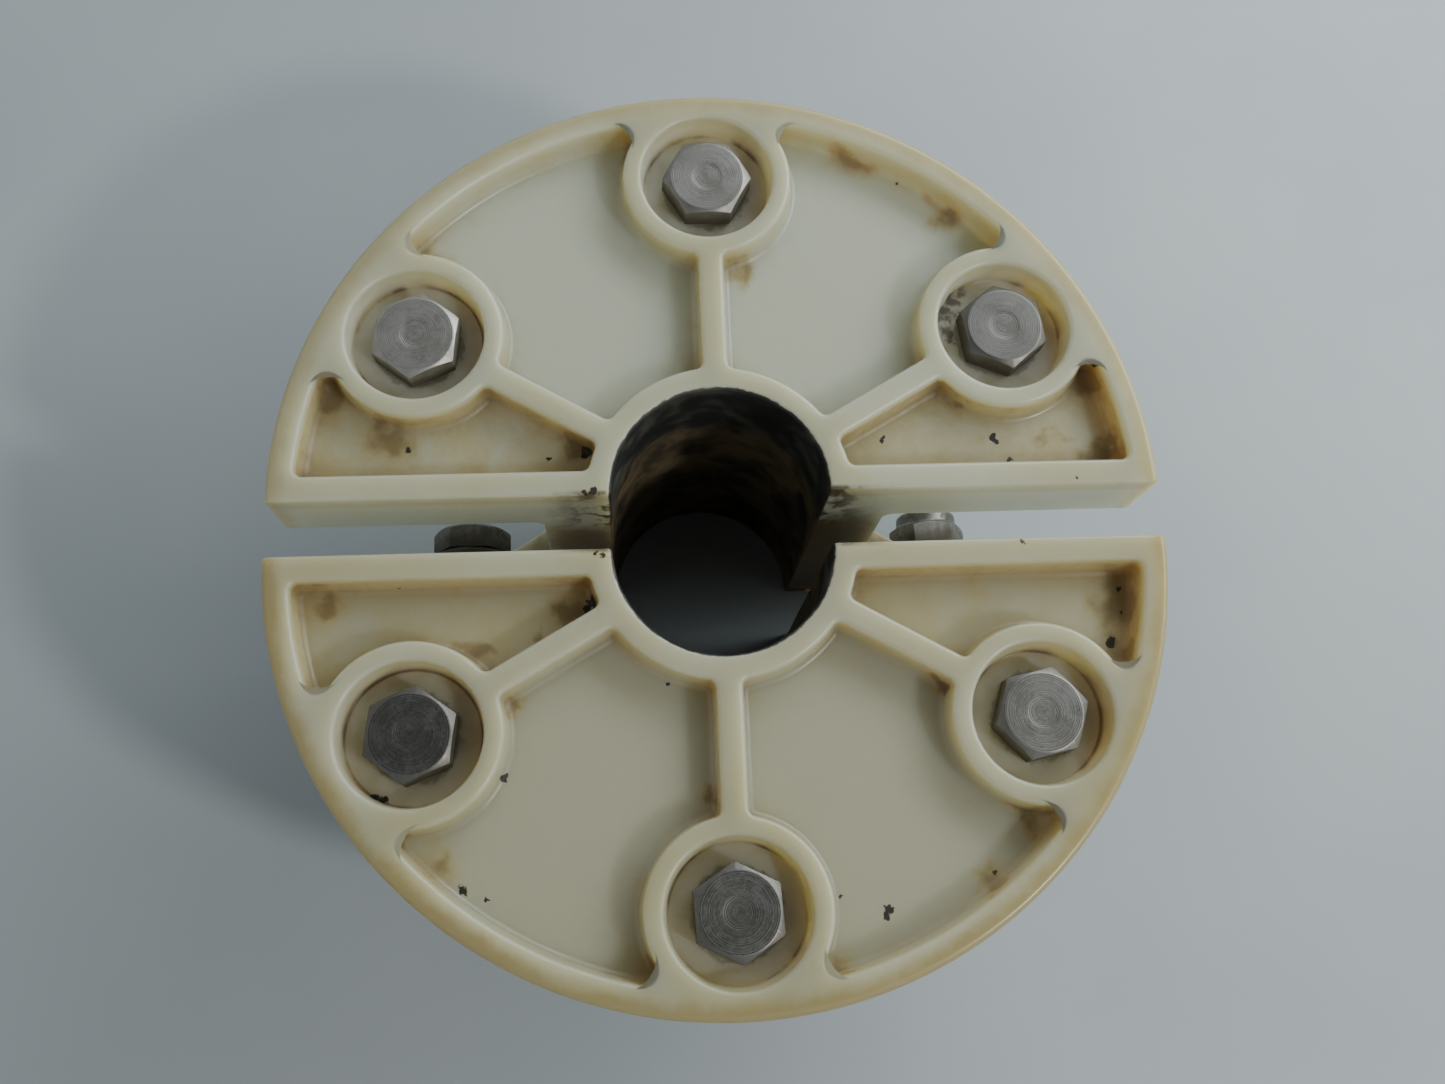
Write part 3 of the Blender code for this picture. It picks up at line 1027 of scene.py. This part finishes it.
def pockets(g, at, colour, tones):
    """Tanned floor and walls, lighter than the body as painted light against the pocket's shade, an
    orange-brown line round its foot, grime in places.
    """
    # The pocket tone is lighter than the body: painted light that lifts the shade in the pocket;
    # the tan patches are stains.
    tan = g.mixed(tones["pocket"], DIRT_AND_PAINTED_SHADE["tan"], g.ramp(at.patches, 0.42, 0.68) * 0.4)
    colour = g.mixed(colour, tan, at.in_pocket * g.ramp(at.z, HEIGHT - 0.5, RECESS_Z + 3.0))
    foot = g.ramp(abs(at.from_boss - (POCKET_R - DRAFT - 0.2)), 0.38, 0.1) * at.on_floor
    colour = g.mixed(colour, DIRT_AND_PAINTED_SHADE["foot"], foot * g.ramp(at.patches, 0.40, 0.62) * 0.5)
    beside_head = g.ramp(at.from_boss + (at.fine - 0.5) * 4.0, 9.9, 8.9) * at.on_floor * 0.4
    grimy = g.ramp(at.stained + (at.fine - 0.5) * 2.2, 0.55, 1.0)
    grimy = grimy * at.in_pocket * at.below_top * 0.75
    return g.mixed(colour, DIRT_AND_PAINTED_SHADE["grime"], g.largest(beside_head, grimy))


def shaft_marks(g, at, colour):
    """Bore, the split face beside it and the hub: black from the shaft, brown lower down. The black
    at the bottom end round the bore is painted shade, and the split face under the flange is
    darkened by smudges and painted shade of the gap.
    """
    soot_and_foot_shade = g.mixed(DIRT_AND_PAINTED_SHADE["soot_and_foot_shade"], DIRT_AND_PAINTED_SHADE["dust"], g.ramp(at.patches, 0.44, 0.66))
    colour = g.mixed(colour, soot_and_foot_shade, at.in_bore_and_shaded_foot)
    smear = g.ramp(at.across + at.mottle * 12.0, 40.0, 24.0) * at.on_split
    broken = g.ramp(at.patches + (at.fine - 0.5) * 0.3, 0.44, 0.54)
    colour = g.mixed(colour, DIRT_AND_PAINTED_SHADE["smear"], smear * (0.25 + broken * 0.7))
    # Smudges and painted shade of the gap: the hub's split face under the flange is darkened.
    low = g.ramp(at.across + at.mottle * 8.0, 40.0, 33.0) * at.on_split * g.ramp(at.z, 72.0, 60.0)
    colour = g.mixed(colour, DIRT_AND_PAINTED_SHADE["low smear and gap shade"], low * 0.8)
    below_flange = g.ramp(at.z, FLANGE_BACK + 2.0, FLANGE_BACK - 6.0)
    return g.mixed(colour, DIRT_AND_PAINTED_SHADE["hub"], below_flange * g.ramp(at.patches, 0.30, 0.62) * 0.7)


def nylon_material(name, seed, side, rim_dirt):
    """Moulded cream nylon: milky webs, stained corners with painted corner shade, bolt pockets
    stained and lightened with painted light, grime from the shaft, and painted shade at the foot of
    the bore.
    """
    g = Graph(name)
    at = nylon_places(g, seed, side)
    tones = NYLON_TONES[side]
    colour = body_and_webs(g, at, tones)
    colour = rim(g, at, colour, rim_dirt)
    colour = pockets(g, at, colour, tones)
    colour = shaft_marks(g, at, colour)
    colour = g.mixed(colour, DIRT_AND_PAINTED_SHADE["crumb"], at.crumbs)
    darkening = g.largest(g.ramp(at.stain_and_corner_shade, 1.15, 2.1) * at.in_web, at.in_bore_and_shaded_foot, at.crumbs)
    g.set(
        Base_Color=colour,
        Roughness=0.25 + at.fine * 0.10 + darkening * 0.25,
        Subsurface_Weight=1.0 - at.in_bore_and_shaded_foot,
        Subsurface_Radius=(1.0, 0.82, 0.5),
        Subsurface_Scale=0.018,
        IOR=1.53,
    )
    relief = at.grain * 0.03 + at.fine * 0.04 + at.broad * 1.2
    g.bump(relief + at.crumbs * 2.0 + at.mottle * at.in_bore_and_shaded_foot, 0.05)
    return g.material


def steel_material(name, seed, light, dark, rough, dirty):
    """Turned steel: rings on the end faces, scuffs, brown grime in patches, and the flats darker
    towards their foot.
    """
    g = Graph(name)
    point, x, y, z = g.point()
    radius = g.length(x, y)
    rings = g.node("ShaderNodeTexNoise", noise_dimensions="2D")
    around = g.node("ShaderNodeCombineXYZ")
    g.feed(around.inputs[0], radius * 4.5)
    g.feed(rings.inputs["Vector"], around.outputs[0])
    rings.inputs["Scale"].default_value = 1.0
    rings.inputs["Detail"].default_value = 4.0
    turned = Num(g, rings.outputs["Fac"])
    patches = g.noise(point, 5.0, seed, 4.0, 0.5)
    fine = g.noise(point, 0.6, seed + 2.0, 4.0, 0.2)
    scuffs = g.noise(g.scaled(point, (1.0, 6.0, 1.0)), 3.0, seed + 4.0, 5.0, 0.3)
    end_face = g.ramp(radius, CHAMFER_R + 0.1, CHAMFER_R - 0.3) * g.ramp(z, 1.0, 5.5)
    on_flats = g.ramp(radius, CHAMFER_R + 0.15, CHAMFER_R + 0.4)
    colour = g.mixed(dark, light, g.ramp(patches * 0.5 + turned * 0.3 + fine * 0.2, 0.40, 0.58))
    colour = g.mixed(colour, light, g.ramp(scuffs, 0.60, 0.70) * 0.4)
    grime = g.ramp(patches + (fine - 0.5) * 0.6, 0.50, 0.68) * dirty
    # The flats are darker towards their foot.
    low = g.ramp(z + (patches - 0.5) * 3.0, 6.5, 1.5) * on_flats
    darkening = g.largest(grime, low * 0.85)
    colour = g.mixed(colour, (0.060, 0.050, 0.030), darkening)
    g.set(
        Base_Color=colour,
        Metallic=1.0 - darkening * 0.7,
        Roughness=rough + (fine - 0.5) * 0.2 + darkening * 0.2 + (turned - 0.5) * 0.25,
    )
    g.bump(turned * end_face * 1.6 + fine * 0.5 + scuffs * 0.3, 0.035)
    return g.material


def stainless_material(side, number):
    """The stainless steel of one flange bolt, as bright as its head is."""
    tone = HEAD_TONES[side][number - 1]
    light = tuple(tone * part for part in (1.0, 0.99, 0.93))
    dark = tuple(0.75 * tone * part for part in (1.0, 0.98, 0.89))
    seed = number + (10.0 if side == "front" else 30.0)
    return steel_material(f"stainless_{side}_{number}", seed, light, dark, 0.44, 0.10)


def insert_material(name):
    """The off-white plastic of a locking ring, scored by the thread."""
    g = Graph(name)
    point = g.point()[0]
    patches = g.noise(point, 2.0, 4.0)
    scored = g.noise(g.scaled(point, (1.0, 1.0, 8.0)), 1.5, 2.0)
    g.set(
        Base_Color=g.mixed((0.52, 0.50, 0.44), (0.30, 0.26, 0.19), g.ramp(patches, 0.4, 0.65)),
        Roughness=0.4 + patches * 0.2,
        Subsurface_Weight=0.3,
        Subsurface_Scale=0.001,
    )
    g.bump(scored, 0.05)
    return g.material


def table_material():
    """A pale bluish-grey table top, faintly uneven in sheen."""
    g = Graph("table_top")
    point = g.point()[0]
    broad = g.noise(point, 120.0, 1.0, 3.0)
    smudges = g.noise(point, 14.0, 2.0, 5.0, 0.5)
    g.set(
        Base_Color=g.mixed((0.49, 0.545, 0.57), (0.45, 0.505, 0.535), g.ramp(broad, 0.35, 0.65)),
        Roughness=0.42 + smudges * 0.12,
    )
    return g.material


# ---------------------------------------------------------------------------------------------
# Floor, light and camera


def floor():
    bm = bmesh.new()
    bmesh.ops.create_grid(bm, x_segments=4, y_segments=4, size=3.0)
    mesh = bpy.data.meshes.new("table_top")
    bm.to_mesh(mesh)
    bm.free()
    made = object_of("table_top", mesh)
    made.data.materials.append(table_material())


def soft_light(name, shape, size, place_at, aim_at, power, colour):
    """An area light, with its size and place in metres and its power in watts."""
    data = bpy.data.lights.new(name, "AREA")
    data.shape = shape
    data.size = size
    data.energy = power
    data.color = colour
    made = bpy.data.objects.new(name, data)
    bpy.context.scene.collection.objects.link(made)
    made.location = place_at
    made.rotation_euler = (Vector(aim_at) - Vector(place_at)).to_track_quat("-Z", "Y").to_euler()


def room(sky, overhead, strength):
    """An even room that is darker straight above, as under a person leaning over the table."""
    made = bpy.data.worlds.new("room")
    made.use_nodes = True
    tree = made.node_tree
    background = tree.nodes["Background"]
    direction = tree.nodes.new("ShaderNodeTexCoord")
    parts = tree.nodes.new("ShaderNodeSeparateXYZ")
    fade = tree.nodes.new("ShaderNodeMapRange")
    mix = tree.nodes.new("ShaderNodeMix")
    mix.data_type = "RGBA"
    fade.interpolation_type = "SMOOTHSTEP"
    fade.inputs["From Min"].default_value = 0.78
    fade.inputs["From Max"].default_value = 0.95
    mix.inputs[6].default_value = (*sky, 1.0)
    mix.inputs[7].default_value = (*overhead, 1.0)
    tree.links.new(direction.outputs["Generated"], parts.inputs[0])
    tree.links.new(parts.outputs["Z"], fade.inputs["Value"])
    tree.links.new(fade.outputs["Result"], mix.inputs[0])
    tree.links.new(mix.outputs[2], background.inputs["Color"])
    background.inputs["Strength"].default_value = strength
    bpy.context.scene.world = made


def camera():
    data = bpy.data.cameras.new("camera")
    data.lens = CAMERA_LENS
    data.sensor_width = CAMERA_FILM
    data.clip_start = 0.01
    made = bpy.data.objects.new("camera", data)
    bpy.context.scene.collection.objects.link(made)
    about_x, about_y, about_z = CAMERA_TURNS
    turn = (
        Matrix.Rotation(about_z, 4, "Z")
        @ Matrix.Rotation(about_x, 4, "X")
        @ Matrix.Rotation(about_y, 4, "Y")
    )
    made.matrix_world = shift(*CAMERA_AT) @ turn
    bpy.context.scene.camera = made


# ---------------------------------------------------------------------------------------------
# Build


def add_fastener(prefix, suffix, meshes, bolt, places, looks, bodies):
    """A bolt, its washer, its locknut and the nut's plastic ring. places, looks and bodies say
    where each stands, what it is made of and what it rides on."""
    for part, mesh, node in (
        ("screw", bolt, "bolt"),
        ("disc", "washer", "washer"),
        ("locknut", "nut", "nut"),
        ("lock_ring", "locking_ring", None),
    ):
        slot, surface = looks[part]
        add_piece(
            f"{prefix}_{part}{suffix}_look",
            meshes[mesh],
            places[part],
            bodies[part],
            surface,
            f"{prefix}_{node}{suffix}" if node else None,
        )


def seats(prefix, suffix, head_way, washer_way, nut_way, turn=0.0):
    """Where the pieces of a fastener stand, each seated the way it faces."""
    at_nut = seat(f"{prefix}_nut{suffix}", nut_way, NUT_H, turn)
    return {
        "screw": seat(f"{prefix}_bolt{suffix}", head_way, HEAD_H, turn),
        "disc": seat(f"{prefix}_washer{suffix}", washer_way, WASHER_T),
        "locknut": at_nut,
        "lock_ring": at_nut,
    }


def build_halves(meshes):
    """Each moulded half with its three flange bolts, washers and locknuts."""
    zinc = steel_material("zinc_flange", 3.0, (0.34, 0.34, 0.32), (0.24, 0.235, 0.21), 0.42, 0.5)
    looks = {
        "disc": ("zinc_steel", zinc),
        "locknut": ("zinc_steel", zinc),
        "lock_ring": ("cream_nylon", insert_material("lock_ring")),
    }
    for side, turn, seed, rim_dirt in (("rear", 0.0, 2.0, 0.65), ("front", math.pi, 17.0, 0.95)):
        body = f"{side}_half"
        stand = Matrix.Rotation(turn, 4, "Z") @ shift(y=SPLIT / 2.0)
        nylon = nylon_material(f"nylon_{side}", seed, side, rim_dirt)
        node = f"{side}_half_body"
        add_piece(f"{side}_moulding", meshes["half"], stand, body, nylon, node)
        for number, spin in enumerate(HEAD_TURNS[side], start=1):
            looks["screw"] = ("stainless_bolt", stainless_material(side, number))
            places = seats(f"{side}_flange", f"_{number}", UP, DOWN, DOWN, spin)
            bodies = dict.fromkeys(places, body)
            add_fastener(
                f"{side}_flange", f"_{number}", meshes, "flange_bolt", places, looks, bodies
            )


def build_clamps(meshes):
    """Two clamp bolts, put in from opposite sides, each with its washer and locknut."""
    zinc = steel_material("zinc_clamp", 8.0, (0.30, 0.30, 0.28), (0.17, 0.165, 0.145), 0.45, 0.75)
    looks = dict.fromkeys(("screw", "disc", "locknut"), ("zinc_steel", zinc))
    looks["lock_ring"] = ("cream_nylon", insert_material("clamp_lock_ring"))
    for side, outward, inward, half in (
        ("left", REAR, FRONT, "rear_half"),
        ("right", FRONT, REAR, "front_half"),
    ):
        places = seats(f"{side}_clamp", "", outward, outward, inward)
        nut = f"{side}_nut"
        bodies = {"screw": half, "disc": half, "locknut": nut, "lock_ring": nut}
        add_fastener(f"{side}_clamp", "", meshes, "clamp_bolt", places, looks, bodies)


shapes = {
    "half": half_mesh(),
    "flange_bolt": bolt_mesh("flange_bolt", FLANGE_BOLT_L),
    "clamp_bolt": bolt_mesh("clamp_bolt", CLAMP_BOLT_L),
    "nut": nut_mesh("nut"),
    "washer": washer_mesh("washer"),
    "locking_ring": insert_mesh("locking_ring"),
}
build_halves(shapes)
build_clamps(shapes)
floor()
soft_light("lamp", "DISK", 0.15, (0.863, -0.596, 1.0), (0.0, 0.0, 0.05), 6.0, (1.0, 0.98, 0.94))
soft_light("window", "RECTANGLE", 0.85, (0.46, 0.37, 0.46), (0.0, 0.0, 0.0), 4.0, (0.94, 0.99, 1.0))
room((0.94, 0.98, 1.0), (0.006, 0.007, 0.008), 0.43)
camera()
